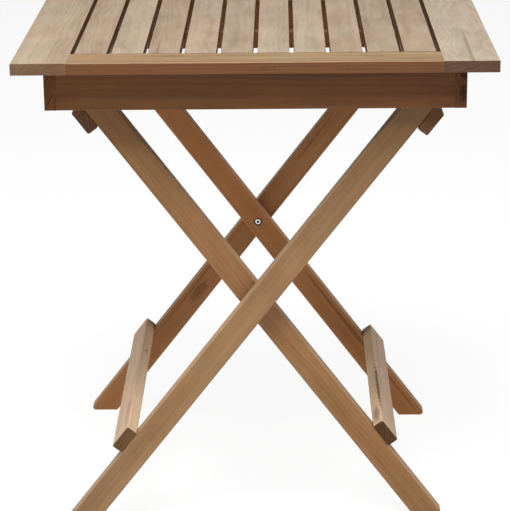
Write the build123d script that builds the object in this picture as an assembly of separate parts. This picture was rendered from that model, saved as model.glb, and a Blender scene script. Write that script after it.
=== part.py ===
from build123d import *
from math import acos, atan2, cos, degrees, sin
import os

# A folding slatted table with crossed legs. Millimetres, +Z up.
# Origin: on the floor, under the middle of the top. X runs left to right, the front is at -Y.
# The wide outer leg frame leans to the upper right and carries the hinge of the top.
# The narrow inner leg frame leans to the upper left, turns inside the outer one on two bolts,
# and its domed leg tips slide along the underside of the top.

# --- overall sizes ---
top_length = 700.0
top_depth = 600.0
table_height = 750.0

# --- the top ---
top_thickness = 17.0
side_board_width = 80.0
rail_width = 64.0
slat_count = 10
slat_gap = 6.0
edge_ease = 1.2
tenon_thickness = 6.0
slat_tenon_length = 12.0
rail_tenon_length = 18.0
tenon_shoulder = 6.0
joint_clearance = 0.1
tenon_end_space = 0.6

# --- the apron box under the top ---
apron_height = 60.0
apron_thickness = 18.0
side_inset = 43.5
front_inset = 33.0
apron_ease = 1.0
batten_width = 20.0
batten_depth = 26.0

# --- the leg frames ---
leg_width = 38.5
leg_thickness = 25.0
leg_ease = 2.0
foot_corner_radius = 5.0
bar_width = 41.0
bar_thickness = 19.0
bar_ease = 3.0
apron_to_leg_gap = 3.0
frame_gap = 4.5
pivot_x = -3.5
pivot_below_hinge = 324.5
hinge_drop = 49.0
hinge_to_side_apron = 40.0
tip_to_side_apron = 38.5
outer_tip_play = 1.5
tip_side_clearance = 1.5
tip_outside_radius = 14.0
tip_inside_radius = 3.0
outer_crossbar_drop = 23.9
inner_crossbar_drop = 31.9
outer_stretcher_height = 126.5
inner_stretcher_height = 123.5

# --- bolts, inserts and washers ---
bolt_diameter = 6.0
bolt_head_diameter = 10.0
bolt_head_height = 6.0
bolt_head_recess = 1.0
bolt_head_chamfer = 0.6
hex_key_size = 5.0
hex_key_depth = 3.0
counterbore_diameter = 13.5
running_clearance = 0.05
face_clearance = 0.05
insert_diameter = 9.0
pivot_insert_length = 15.0
hinge_insert_length = 12.0
bolt_tip_space = 1.0
pivot_washer_diameter = 20.0
hinge_washer_diameter = 18.0

# --- dowels ---
dowel_diameter = 8.0
dowel_end_space = 1.0
bar_dowel_in_bar = 12.0
bar_dowel_in_leg = 16.0
bar_dowel_spacing = 20.0
apron_dowel_in_side = 11.0
apron_dowel_in_end = 22.0
apron_dowel_spacing = 28.0

# --- wood screws ---
screw_diameter = 4.0
screw_head_diameter = 8.0
screw_head_height = 2.4
screw_point_length = 5.0
screw_slot_width = 1.0
screw_slot_depth = 1.0
pilot_clearance = 0.1
apron_screw_length = 48.0
apron_screw_sink = 22.0
apron_screw_margin = 70.0
batten_screw_length = 36.0
batten_end_screw_margin = 9.0

# --- places that follow from the sizes ---
half_length = top_length / 2
half_depth = top_depth / 2
underside_z = table_height - top_thickness
top_middle_z = table_height - top_thickness / 2
apron_bottom_z = underside_z - apron_height
apron_middle_z = underside_z - apron_height / 2

rail_length = top_length - 2 * side_board_width
slat_width = (rail_length - (slat_count + 1) * slat_gap) / slat_count
slat_length = top_depth - 2 * rail_width
slat_pitch = slat_width + slat_gap
slat_centres = [(i - (slat_count - 1) / 2) * slat_pitch for i in range(slat_count)]
rail_y = half_depth - rail_width / 2
side_board_x = half_length - side_board_width / 2

side_apron_x = half_length - side_inset - apron_thickness / 2
side_apron_inner_x = half_length - side_inset - apron_thickness
front_apron_y = half_depth - front_inset - apron_thickness / 2
front_apron_inner_y = half_depth - front_inset - apron_thickness
side_apron_length = top_depth - 2 * front_inset

outer_face_y = front_apron_inner_y - apron_to_leg_gap
outer_leg_y = outer_face_y - leg_thickness / 2
inner_face_y = outer_face_y - leg_thickness - frame_gap
inner_leg_y = inner_face_y - leg_thickness / 2

hinge_x = side_apron_inner_x - hinge_to_side_apron
hinge_z = underside_z - hinge_drop
pivot_z = hinge_z - pivot_below_hinge
outer_lean = atan2(pivot_below_hinge, hinge_x - pivot_x)
upper_arm = pivot_below_hinge / sin(outer_lean)
tip_x = tip_to_side_apron - side_apron_inner_x
inner_lean = acos((pivot_x - tip_x) / upper_arm)
tip_z = pivot_z + upper_arm * sin(inner_lean)
outer_tip_radius = hinge_drop - outer_tip_play
inner_tip_radius = underside_z - tip_z


def leg_plane(lean, to_right, y):
    """A plane at the leg pivot: local X runs up the leg, local Y towards its upper side."""
    side = 1 if to_right else -1
    up_the_leg = Vector(side * cos(lean), 0, sin(lean))
    return Plane(origin=(pivot_x, y, pivot_z), x_dir=up_the_leg, z_dir=(0, -side, 0))


def board(length, width, thickness, ease, along):
    """A plank about the origin with its four long edges eased."""
    solid = Box(length, width, thickness)
    return fillet(solid.edges().filter_by(along), ease)



# --- hardware ---

def socket_bolt(grip):
    """A socket head bolt with the underside of its head at the origin and its shank down -Z."""
    head = Pos(0, 0, bolt_head_height / 2) * Cylinder(bolt_head_diameter / 2, bolt_head_height)
    head = chamfer(head.edges().sort_by(Axis.Z)[-1], bolt_head_chamfer)
    shank = Pos(0, 0, -grip / 2) * Cylinder(bolt_diameter / 2, grip)
    key_hole = extrude(RegularPolygon(hex_key_size / 2, 6, major_radius=False), amount=hex_key_depth)
    return head + shank - Pos(0, 0, bolt_head_height - hex_key_depth) * key_hole


def ring(outer_diameter, inner_diameter, thickness):
    """A washer or sleeve about the origin, along Z."""
    return Cylinder(outer_diameter / 2, thickness) - Cylinder(inner_diameter / 2, thickness)


def wood_screw(length):
    """A countersunk wood screw pointing up, with the flat of its head at the origin."""
    shank_length = length - screw_head_height - screw_point_length
    head = Pos(0, 0, screw_head_height / 2) * Cone(
        screw_head_diameter / 2, screw_diameter / 2, screw_head_height)
    shank = Pos(0, 0, screw_head_height + shank_length / 2) * Cylinder(screw_diameter / 2, shank_length)
    point = Pos(0, 0, length - screw_point_length / 2) * Cone(
        screw_diameter / 2, screw_diameter / 10, screw_point_length)
    slot = Pos(0, 0, screw_slot_depth / 2) * Box(screw_head_diameter, screw_slot_width, screw_slot_depth)
    return head + shank + point - slot


def screw_hole(length):
    """The pilot hole and countersink that a wood screw of this length sits in."""
    head_radius = screw_head_diameter / 2 + pilot_clearance
    shank_radius = screw_diameter / 2 + pilot_clearance
    head = Pos(0, 0, screw_head_height / 2) * Cone(head_radius, shank_radius, screw_head_height)
    hole_length = length + pilot_clearance
    return head + Pos(0, 0, hole_length / 2) * Cylinder(shank_radius, hole_length)


def dowel_pair(first_length, second_length, spacing, clearance=0.0, end_space=0.0):
    """Two dowels along Z with the joint line at the origin, spaced along X; clearances make holes."""
    length = first_length + second_length + 2 * end_space
    middle = (second_length - first_length) / 2
    pin = Cylinder(dowel_diameter / 2 + clearance, length)
    return [Pos(side * spacing / 2, 0, middle) * pin for side in (-1, 1)]


def cut(piece, tools):
    """The piece with each tool taken out of it."""
    for tool in tools:
        piece = piece - tool
    return piece


# --- places of the fasteners ---

apron_screw_z = apron_bottom_z + apron_screw_sink
front_screw_step = side_apron_inner_x - apron_screw_margin
apron_screw_places = [
    Pos(x, y * front_apron_y, apron_screw_z)
    for y in (-1, 1)
    for x in (-front_screw_step, 0, front_screw_step)]
side_screw_step = front_apron_y - apron_screw_margin
apron_screw_places += [
    Pos(x * side_apron_x, y, apron_screw_z) for x in (-1, 1) for y in (-side_screw_step, side_screw_step)]
batten_bottom_z = underside_z - batten_depth
batten_end_x = side_apron_inner_x - batten_end_screw_margin
batten_screw_places = [Pos(x, 0, batten_bottom_z) for x in [-batten_end_x, *slat_centres, batten_end_x]]

apron_screw_holes = [place * screw_hole(apron_screw_length) for place in apron_screw_places]
batten_screw_holes = [place * screw_hole(batten_screw_length) for place in batten_screw_places]
sink_radius = screw_head_diameter / 2 + 2 * pilot_clearance
apron_sinks = [
    place * Pos(0, 0, -apron_screw_sink / 2) * Cylinder(sink_radius, apron_screw_sink)
    for place in apron_screw_places]


def apron_dowel_places():
    """Planes on the end faces of the front and back aprons, looking into them."""
    for y in (-front_apron_y, front_apron_y):
        for side in (-1, 1):
            yield Plane(
                origin=(side * side_apron_inner_x, y, apron_middle_z), x_dir=(0, 0, 1), z_dir=(-side, 0, 0))


def apron_dowels(clearance=0.0, end_space=0.0):
    """Dowels, or their holes, at the four corners of the apron box."""
    pairs = dowel_pair(apron_dowel_in_side, apron_dowel_in_end, apron_dowel_spacing, clearance, end_space)
    return [place * pin for place in apron_dowel_places() for pin in pairs]


apron_dowel_holes = apron_dowels(joint_clearance, dowel_end_space)


# --- the top ---

def tenon(length, width, clearance=0.0):
    """A flat tenon about the origin along Y, or its mortise when a clearance is given."""
    return Box(width + 2 * clearance, length, tenon_thickness + 2 * clearance)


def slat(x):
    """One slat of the top with a stub tenon at each end."""
    body = Pos(x, 0, top_middle_z) * board(slat_width, slat_length, top_thickness, edge_ease, Axis.Y)
    tenon_y = slat_length / 2 + slat_tenon_length / 2
    stub = tenon(slat_tenon_length, slat_width - 2 * tenon_shoulder)
    for side in (-1, 1):
        body = body + Pos(x, side * tenon_y, top_middle_z) * stub
    return cut(body, batten_screw_holes)


def rail(side):
    """The front (-1) or back (1) rail, with mortises for the slats and a tenon at each end."""
    body = Pos(0, side * rail_y, top_middle_z) * board(
        rail_length, rail_width, top_thickness, edge_ease, Axis.X)
    mortise = tenon(slat_tenon_length + tenon_end_space, slat_width - 2 * tenon_shoulder, joint_clearance)
    mortise_y = side * (slat_length / 2 + (slat_tenon_length + tenon_end_space) / 2)
    for x in slat_centres:
        body = body - Pos(x, mortise_y, top_middle_z) * mortise
    end_tenon = Box(rail_tenon_length, rail_width - 2 * tenon_shoulder, tenon_thickness)
    for end in (-1, 1):
        tenon_x = end * (rail_length / 2 + rail_tenon_length / 2)
        body = body + Pos(tenon_x, side * rail_y, top_middle_z) * end_tenon
    return cut(body, apron_screw_holes)


def side_board(side):
    """The left (-1) or right (1) side board, with mortises for the rails."""
    body = Pos(side * side_board_x, 0, top_middle_z) * board(
        side_board_width, top_depth, top_thickness, edge_ease, Axis.Y)
    mortise_length = rail_tenon_length + tenon_end_space
    mortise_x = side * (rail_length / 2 + mortise_length / 2)
    mortise = Box(
        mortise_length,
        rail_width - 2 * tenon_shoulder + 2 * joint_clearance,
        tenon_thickness + 2 * joint_clearance)
    for end in (-1, 1):
        body = body - Pos(mortise_x, end * rail_y, top_middle_z) * mortise
    return cut(body, apron_screw_holes + batten_screw_holes)


# --- the apron box ---

def hinge_place(side):
    """A plane on the hinge axis in the joint between the apron and the leg, looking at the apron."""
    return Plane(origin=(hinge_x, side * front_apron_inner_y, hinge_z), x_dir=(1, 0, 0), z_dir=(0, side, 0))


def end_apron(side):
    """The front (-1) or back (1) apron, with the hole for the hinge insert."""
    body = Pos(0, side * front_apron_y, apron_middle_z) * board(
        2 * side_apron_inner_x, apron_thickness, apron_height, apron_ease, Axis.X)
    depth = hinge_insert_length + bolt_tip_space
    hole = hinge_place(side) * Pos(0, 0, depth / 2) * Cylinder(insert_diameter / 2 + joint_clearance, depth)
    return cut(body, [hole] + apron_screw_holes + apron_sinks + apron_dowel_holes)


def side_apron(side):
    """The left (-1) or right (1) apron, which runs past the ends of the other two."""
    body = Pos(side * side_apron_x, 0, apron_middle_z) * board(
        apron_thickness, side_apron_length, apron_height, apron_ease, Axis.Y)
    return cut(body, apron_screw_holes + apron_sinks + apron_dowel_holes)


def batten():
    """The batten under the middle of the slats."""
    body = Pos(0, 0, underside_z - batten_depth / 2) * board(
        2 * side_apron_inner_x, batten_width, batten_depth, apron_ease, Axis.X)
    return cut(body, batten_screw_holes)


# --- the leg frames ---

def leg_profile(lean, tip_radius):
    """The side view of a leg in its own plane: level foot, straight sides and a domed tip."""
    half = leg_width / 2
    shoulder = upper_arm + (tip_radius ** 2 - half ** 2) ** 0.5
    lower_heel = (-(pivot_z - half * cos(lean)) / sin(lean), -half)
    upper_heel = (-(pivot_z + half * cos(lean)) / sin(lean), half)
    lower_shoulder = (shoulder, -half)
    upper_shoulder = (shoulder, half)
    outline = [
        Line(lower_heel, lower_shoulder),
        ThreePointArc(lower_shoulder, (upper_arm + tip_radius, 0), upper_shoulder),
        Line(upper_shoulder, upper_heel),
        Line(upper_heel, lower_heel)]
    face = make_face(outline)
    rounded_corners = [
        (lower_heel, foot_corner_radius),
        (upper_heel, foot_corner_radius),
        (lower_shoulder, tip_outside_radius),
        (upper_shoulder, tip_inside_radius)]
    for corner, radius in rounded_corners:
        face = fillet(face.vertices().sort_by_distance(corner)[0], radius)
    return face


# Where a leg tip would come too near a side apron it is cut back parallel to that apron.
relief_height = apron_height + tip_side_clearance
relief_x = side_apron_inner_x - tip_side_clearance + apron_thickness / 2
relief = Box(apron_thickness, top_depth, relief_height)
apron_reliefs = [Pos(side * relief_x, 0, underside_z - relief_height / 2) * relief for side in (-1, 1)]


def leg(lean, to_right, y, tip_radius):
    """One leg with all its edges eased, before its holes are bored."""
    solid = extrude(leg_profile(lean, tip_radius), amount=leg_thickness / 2, both=True)
    solid = fillet(solid.faces().filter_by(Axis.Z).edges(), leg_ease)
    return cut(leg_plane(lean, to_right, y) * solid, apron_reliefs)


def bar(lean, to_right, reach, above, length):
    """A crossbar or stretcher laid on the legs of one frame, at a reach along them from the pivot."""
    across = above * (leg_width / 2 + bar_thickness / 2)
    solid = board(bar_width, bar_thickness, length, bar_ease, Axis.Z)
    solid = fillet(solid.faces().filter_by(Axis.Z).edges(), apron_ease)
    return leg_plane(lean, to_right, 0) * (Pos(reach, across, 0) * solid)


def bar_dowels(lean, to_right, reach, above, leg_y, clearance=0.0, end_space=0.0):
    """Dowels, or their holes, that hold a bar to the two legs of its frame."""
    pins = []
    for y in (-leg_y, leg_y):
        on_leg = leg_plane(lean, to_right, y)
        joint = Plane(
            origin=on_leg.from_local_coords((reach, above * leg_width / 2, 0)),
            x_dir=on_leg.x_dir,
            z_dir=on_leg.y_dir * above)
        pair = dowel_pair(bar_dowel_in_leg, bar_dowel_in_bar, bar_dowel_spacing, clearance, end_space)
        pins += [joint * pin for pin in pair]
    return pins


def bolt_place(x, z, side, leg_inner_y):
    """The seat of a bolt head in the inner face of a leg, with the shank pointing outwards."""
    seat_y = leg_inner_y + bolt_head_height + bolt_head_recess
    return Plane(origin=(x, side * seat_y, z), x_dir=(1, 0, 0), z_dir=(0, -side, 0))


def bolt_hole(place):
    """The counterbore and the running bore of a bolt, right through its leg."""
    sink = bolt_head_height + 2 * bolt_head_recess
    head_room = Pos(0, 0, sink / 2) * Cylinder(counterbore_diameter / 2, sink)
    bore = Cylinder(bolt_diameter / 2 + running_clearance, 2 * leg_thickness)
    return place * (head_room + bore)


def in_gap(x, z, y, piece):
    """A piece along Z, turned to lie along Y and centred at a height and depth."""
    return Pos(x, y, z) * (Rot(90, 0, 0) * piece)


seat_depth = bolt_head_height + bolt_head_recess
outer_inside_y = outer_face_y - leg_thickness
inner_inside_y = inner_face_y - leg_thickness
pivot_places = [bolt_place(pivot_x, pivot_z, side, inner_inside_y) for side in (-1, 1)]
hinge_places = [bolt_place(hinge_x, hinge_z, side, outer_inside_y - face_clearance) for side in (-1, 1)]
pivot_grip = leg_thickness - seat_depth + frame_gap + pivot_insert_length - bolt_tip_space
hinge_grip = leg_thickness - seat_depth + apron_to_leg_gap + hinge_insert_length - bolt_tip_space
pivot_insert_y = outer_inside_y + pivot_insert_length / 2
hinge_insert_y = front_apron_inner_y + hinge_insert_length / 2
pivot_washer = ring(
    pivot_washer_diameter, bolt_diameter + 2 * running_clearance, frame_gap - 2 * face_clearance)
hinge_washer = ring(
    hinge_washer_diameter, bolt_diameter + 2 * running_clearance, apron_to_leg_gap - 2 * face_clearance)
insert_bore = bolt_diameter + 2 * running_clearance
hinge_insert = ring(insert_diameter, insert_bore, hinge_insert_length)
pivot_insert = ring(insert_diameter, insert_bore, pivot_insert_length)

outer_stretcher_reach = (outer_stretcher_height - pivot_z) / sin(outer_lean)
inner_stretcher_reach = (inner_stretcher_height - pivot_z) / sin(inner_lean)
outer_bars = {
    "outer_top_crossbar": (outer_lean, True, upper_arm - outer_crossbar_drop, -1),
    "outer_lower_stretcher": (outer_lean, True, outer_stretcher_reach, 1)}
inner_bars = {
    "inner_top_crossbar": (inner_lean, False, upper_arm - inner_crossbar_drop, -1),
    "inner_lower_stretcher": (inner_lean, False, inner_stretcher_reach, 1)}


def frame_dowels(bars, leg_y, clearance=0.0, end_space=0.0):
    """All dowels, or dowel holes, of one leg frame."""
    return [pin for place in bars.values() for pin in bar_dowels(*place, leg_y, clearance, end_space)]


outer_dowel_holes = frame_dowels(outer_bars, outer_leg_y, joint_clearance, dowel_end_space)
inner_dowel_holes = frame_dowels(inner_bars, inner_leg_y, joint_clearance, dowel_end_space)


def outer_leg(side):
    """The front (-1) or back (1) leg of the outer frame."""
    insert_depth = pivot_insert_length + bolt_tip_space
    insert_hole = in_gap(
        pivot_x,
        pivot_z,
        side * (outer_inside_y + insert_depth / 2),
        Cylinder(insert_diameter / 2 + joint_clearance, insert_depth))
    hinge_hole = bolt_hole(bolt_place(hinge_x, hinge_z, side, outer_inside_y))
    body = leg(outer_lean, True, side * outer_leg_y, outer_tip_radius)
    return cut(body, [insert_hole, hinge_hole] + outer_dowel_holes)


def inner_leg(side):
    """The front (-1) or back (1) leg of the inner frame."""
    pivot_hole = bolt_hole(bolt_place(pivot_x, pivot_z, side, inner_inside_y))
    body = leg(inner_lean, False, side * inner_leg_y, inner_tip_radius)
    return cut(body, [pivot_hole] + inner_dowel_holes)


# --- every piece by name ---

pieces = {
    "left_side_board": side_board(-1),
    "right_side_board": side_board(1),
    "front_rail": rail(-1),
    "back_rail": rail(1),
    "centre_batten": batten(),
    "front_apron": end_apron(-1),
    "back_apron": end_apron(1),
    "left_apron": side_apron(-1),
    "right_apron": side_apron(1),
    "apron_dowels": Compound(apron_dowels()),
    "apron_screws": Compound([place * wood_screw(apron_screw_length) for place in apron_screw_places]),
    "batten_screws": Compound([place * wood_screw(batten_screw_length) for place in batten_screw_places]),
    "hinge_bolts": Compound([place * socket_bolt(hinge_grip) for place in hinge_places]),
    "outer_front_leg": outer_leg(-1),
    "outer_back_leg": outer_leg(1),
    "outer_dowels": Compound(frame_dowels(outer_bars, outer_leg_y)),
    "pivot_bolts": Compound([place * socket_bolt(pivot_grip) for place in pivot_places]),
    "inner_front_leg": inner_leg(-1),
    "inner_back_leg": inner_leg(1),
    "inner_dowels": Compound(frame_dowels(inner_bars, inner_leg_y))}

for number, x in enumerate(slat_centres, start=1):
    pieces[f"slat_{number:02d}"] = slat(x)

for name, place in outer_bars.items():
    pieces[name] = cut(bar(*place, 2 * outer_face_y), outer_dowel_holes)
for name, place in inner_bars.items():
    pieces[name] = cut(bar(*place, 2 * inner_face_y), inner_dowel_holes)

rings = {
    "hinge_inserts": (hinge_x, hinge_z, hinge_insert_y, hinge_insert),
    "hinge_washers": (hinge_x, hinge_z, front_apron_inner_y - apron_to_leg_gap / 2, hinge_washer),
    "pivot_inserts": (pivot_x, pivot_z, pivot_insert_y, pivot_insert),
    "pivot_washers": (pivot_x, pivot_z, inner_face_y + frame_gap / 2, pivot_washer)}
for name, (x, z, y, piece) in rings.items():
    pieces[name] = Compound([in_gap(x, z, side * y, piece) for side in (-1, 1)])

os.makedirs("parts", exist_ok=True)
for name, piece in pieces.items():
    export_step(piece, f"parts/{name}.step")

print("pieces", len(pieces))
print("leans in degrees", round(degrees(outer_lean), 2), round(degrees(inner_lean), 2))
print("upper arm", round(upper_arm, 2), "hinge", round(hinge_x, 2), round(hinge_z, 2))
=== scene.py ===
# %% [markdown]
# # A folding garden table in oiled hardwood
#
# The table is a lesson in wood. Almost everything on it is a sawn board, so the look depends on
# two things: boards whose edges catch the light as sanded wood does, and a wood material that
# runs along each board, shows its growth rings on every face and never repeats on two boards.
#
# The engineering model comes in first, as a fixed frame. All lengths below are metres.

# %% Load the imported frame
import random
from math import cos, radians, sin
import bmesh
import bpy
import numpy as np
from mathutils import Matrix, Vector


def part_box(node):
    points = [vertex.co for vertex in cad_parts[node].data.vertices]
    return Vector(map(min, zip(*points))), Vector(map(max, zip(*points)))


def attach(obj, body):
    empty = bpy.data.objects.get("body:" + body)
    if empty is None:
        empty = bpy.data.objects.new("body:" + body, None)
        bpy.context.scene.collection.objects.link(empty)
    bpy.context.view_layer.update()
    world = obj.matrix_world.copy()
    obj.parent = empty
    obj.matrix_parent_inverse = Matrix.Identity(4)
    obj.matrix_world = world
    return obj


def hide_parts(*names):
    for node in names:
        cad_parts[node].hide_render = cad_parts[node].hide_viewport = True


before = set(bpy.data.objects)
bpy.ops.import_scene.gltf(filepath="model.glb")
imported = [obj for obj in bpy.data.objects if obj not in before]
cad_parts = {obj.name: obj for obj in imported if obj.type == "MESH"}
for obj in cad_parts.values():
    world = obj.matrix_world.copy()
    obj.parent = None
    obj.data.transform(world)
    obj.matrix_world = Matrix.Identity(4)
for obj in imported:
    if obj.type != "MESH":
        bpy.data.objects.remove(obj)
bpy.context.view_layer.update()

# %% [markdown]
# ## Shader maths as plain expressions
#
# A wood material is mostly arithmetic on coordinates. Wiring dozens of Math nodes by hand hides
# the idea, so a small class wraps a socket and lets Python's own operators add the nodes. The
# reflected forms make `1 - mask` work as well as `mask * 2`.

# %% A socket that adds Math nodes
class Wire:
    """One socket of a node tree. Arithmetic on a wire adds Math nodes."""

    def __init__(self, graph, socket):
        self.graph = graph
        self.socket = socket

    def __add__(self, other):
        return self.graph.math("ADD", self, other)

    def __sub__(self, other):
        return self.graph.math("SUBTRACT", self, other)

    def __rsub__(self, other):
        return self.graph.math("SUBTRACT", other, self)

    def __mul__(self, other):
        return self.graph.math("MULTIPLY", self, other)

    def __truediv__(self, other):
        return self.graph.math("DIVIDE", self, other)

    __radd__ = __add__
    __rmul__ = __mul__


# %% [markdown]
# ## A node tree as expressions
#
# `Graph.add` makes every other node: it sets the node's settings first, because they decide which
# sockets the node has, and then its sockets, which may be numbers or wires. The short methods
# after it name the nodes that this table uses again and again. The same class builds the
# Geometry Nodes trees. The trial at the end counts the nodes that one expression adds.

# %% A node tree
# The Mix node has one set of sockets for each kind of data; these are the ones for colour.
MIX_FACTOR, MIX_FIRST, MIX_SECOND, MIX_RESULT = 0, 6, 7, 2


class Graph:
    """A node tree that is written as expressions."""

    def __init__(self, tree):
        self.tree = tree

    def add(self, kind, settings=None, values=None, output=0):
        """A new node of a kind: its settings first, then the values or wires of its inputs."""
        node = self.tree.nodes.new(kind)
        for name, value in (settings or {}).items():
            setattr(node, name, value)
        for key, value in (values or {}).items():
            if isinstance(value, Wire):
                self.tree.links.new(value.socket, node.inputs[key])
            else:
                node.inputs[key].default_value = value
        return Wire(self, node.outputs[output])

    def math(self, operation, *values):
        return self.add("ShaderNodeMath", {"operation": operation}, dict(enumerate(values)))

    def vector(self, x, y, z):
        return self.add("ShaderNodeCombineXYZ", None, {"X": x, "Y": y, "Z": z})

    def split(self, wire):
        """The three parts of a vector."""
        node = self.add("ShaderNodeSeparateXYZ", None, {"Vector": wire}).socket.node
        return [Wire(self, node.outputs[axis]) for axis in "XYZ"]

    def attribute(self, name, output="Vector"):
        """A named attribute of the mesh, read in a material."""
        return self.add("ShaderNodeAttribute", {"attribute_name": name}, output=output)

    def noise(self, vector, scale, detail=2.0, roughness=0.5):
        return self.add("ShaderNodeTexNoise", {"noise_dimensions": "3D"}, {
            "Vector": vector, "Scale": scale, "Detail": detail, "Roughness": roughness})

    def smooth_step(self, wire, low, high):
        """0 below low, 1 above high, and a soft ramp between."""
        return self.add("ShaderNodeMapRange", {"interpolation_type": "SMOOTHSTEP"}, {
            "Value": wire, "From Min": low, "From Max": high})

    def mix_colour(self, factor, first, second, blend="MIX"):
        """Two colours mixed; the wire is the Mix node's colour output."""
        node = self.tree.nodes.new("ShaderNodeMix")
        node.data_type = "RGBA"
        node.blend_type = blend
        for index, value in ((MIX_FACTOR, factor), (MIX_FIRST, first), (MIX_SECOND, second)):
            if isinstance(value, Wire):
                self.tree.links.new(value.socket, node.inputs[index])
            elif index == MIX_FACTOR:
                node.inputs[index].default_value = value
            else:
                node.inputs[index].default_value = (*value, 1.0)
        return Wire(self, node.outputs[MIX_RESULT])


trial = bpy.data.node_groups.new("trial", "ShaderNodeTree")
1.0 - Graph(trial).math("SQRT", 4.0) * 0.5
print("1 - sqrt(4) * 0.5 adds", len(trial.nodes), "nodes")
bpy.data.node_groups.remove(trial)


# %% [markdown]
# ## Starting a finish
#
# Every finish on the table is one material with one Principled shader, which Blender makes with
# the material. What is the same all over a piece is set on the shader's own sockets. What changes
# over it is plugged into them.

# %% A new material
def new_material(name):
    """An empty node material, its graph and its Principled shader."""
    material = bpy.data.materials.new(name)
    material.use_nodes = True
    graph = Graph(material.node_tree)
    shader = material.node_tree.nodes["Principled BSDF"]
    return material, graph, shader


def plug(graph, wire, socket):
    """Joins a wire to a socket of the shader."""
    graph.tree.links.new(wire.socket, socket)


# %% [markdown]
# ## Finding each board's own directions
#
# Wood grain runs along a board, and the legs lean, so a pattern in room coordinates would cut
# across them. Each board's directions can be read from its shape: its two broadest faces that
# stand at right angles give its thickness and its width, and what is left is its length.

# %% Measure a board
SQUARE_ENOUGH = 0.1  # the largest dot product of two faces that count as at right angles


def face_areas(mesh):
    """The area of a mesh for each direction that its faces look in, opposite faces together."""
    areas = {}
    for polygon in mesh.polygons:
        normal = polygon.normal
        lead = max(normal, key=abs)
        if lead < 0:
            normal = -normal
        key = tuple(round(value, 2) for value in normal)
        areas[key] = areas.get(key, 0.0) + polygon.area
    return areas


class Board:
    """A board's centre, its directions (along, across, through) and its half sizes."""

    def __init__(self, name):
        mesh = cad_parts[name].data
        ranked = sorted(face_areas(mesh).items(), key=lambda item: -item[1])
        through = Vector(ranked[0][0]).normalized()
        across = next(
            Vector(key) for key, area in ranked if abs(Vector(key).dot(through)) < SQUARE_ENOUGH)
        across = (across - across.dot(through) * through).normalized()
        along = across.cross(through)
        self.name = name
        self.axes = Matrix((along, across, through))
        points = np.array([vertex.co for vertex in mesh.vertices]) @ np.array(self.axes).T
        low, high = points.min(0), points.max(0)
        self.half = Vector((high - low) / 2)
        self.centre = self.axes.transposed() @ Vector((high + low) / 2)

    def local(self, place):
        """A place in the room as along, across and through on this board."""
        return self.axes @ (Vector(place) - self.centre)

    def coordinates(self, graph):
        """Object coordinates turned and centred to this board."""
        place = graph.add("ShaderNodeTexCoord", output="Object")
        return graph.add("ShaderNodeMapping", {"vector_type": "TEXTURE"}, {
            "Vector": place,
            "Location": self.centre,
            "Rotation": self.axes.transposed().to_euler("XYZ")})


demo = Board("outer_front_leg")
print("outer leg", [round(value, 4) for value in demo.half], "centre", demo.centre)

# %% [markdown]
# ## The timber's colours
#
# One batch of timber has two colours here: that of its upright faces, and a paler, greyer one on
# its upper faces, which is painted light for the light and sheen from above. A small class holds
# them with the strength of the figure, and every board is given one of these stains. The legs also
# get a painted shade just below the top, darker towards the top, for the shade under the tabletop.

# %% Stains
class Stain:
    """One batch of timber: its colour, its paler colour of painted light on upper faces, its
    figure.
    """

    def __init__(self, colour, top_light_colour, rings=0.30, swirl=0.4, streaks=0.9, mottle=0.25,
                 end_tint=(0.80, 0.75, 0.72), painted_shade_under_top=0.0):
        self.colour = colour
        self.top_light_colour = top_light_colour
        self.rings = rings
        self.swirl = swirl
        self.streaks = streaks
        self.mottle = mottle
        self.end_tint = end_tint
        self.painted_shade_under_top = painted_shade_under_top


# The second colour of each stain is painted light: the paler, greyer colour of faces that look up,
# for the light and sheen from above.
TOP = Stain(
    (0.165, 0.086, 0.040), (0.302, 0.228, 0.159), rings=0.11, swirl=1.0, streaks=0.42, mottle=0.50)
SIDE = Stain(
    (0.225, 0.138, 0.078), (0.318, 0.243, 0.169), rings=0.12, swirl=1.1, streaks=0.42, mottle=0.45,
    end_tint=(0.67, 0.59, 0.48))
DARK_SIDE = Stain(
    (0.140, 0.080, 0.045), (0.330, 0.262, 0.192), rings=0.21, swirl=1.9, streaks=0.34, mottle=0.40,
    end_tint=(0.60, 0.49, 0.38))
# The rails and aprons are darker partly as their own timber and partly as painted shade, for the
# dimmer light on faces at the top and under its overhang.
SHADED_DARK_RAIL = Stain(
    (0.128, 0.045, 0.010), (0.236, 0.150, 0.078), rings=0.34, swirl=0.6, streaks=0.8)
SHADED_DARK_APRON = Stain(
    (0.138, 0.056, 0.018), (0.190, 0.100, 0.050), rings=0.26, swirl=0.5)
LEG = Stain(
    (0.280, 0.160, 0.073), (0.380, 0.265, 0.165), rings=0.11, streaks=0.75, mottle=0.35,
    painted_shade_under_top=0.60)
INNER_LEG = Stain(
    (0.255, 0.129, 0.051), (0.350, 0.230, 0.130), rings=0.13, streaks=0.80, mottle=0.35,
    painted_shade_under_top=0.32)
BACK_LEG = Stain(
    (0.325, 0.137, 0.044), (0.400, 0.245, 0.135), rings=0.11, streaks=0.65, mottle=0.35,
    painted_shade_under_top=0.28)
# A darker copy of the back leg's stain with strong painted shade below the top: painted shade for
# the shadow that the top and the other frame cast on the far leg.
SHADED_FAR_LEG = Stain(
    (0.288, 0.124, 0.042), (0.380, 0.235, 0.130), rings=0.13, streaks=0.75, mottle=0.35,
    painted_shade_under_top=0.95)
BAR = Stain(
    (0.350, 0.215, 0.115), (0.600, 0.425, 0.280), rings=0.22, streaks=0.7,
    end_tint=(0.36, 0.30, 0.23))
RIGHT_BAR = Stain(
    (0.310, 0.186, 0.098), (0.560, 0.390, 0.250), rings=0.22, streaks=0.7,
    end_tint=(0.26, 0.20, 0.14))
CROSSBAR = Stain((0.155, 0.073, 0.030), (0.190, 0.110, 0.060))

print("the legs are", LEG.colour, "and bleach to", LEG.top_light_colour)

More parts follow.
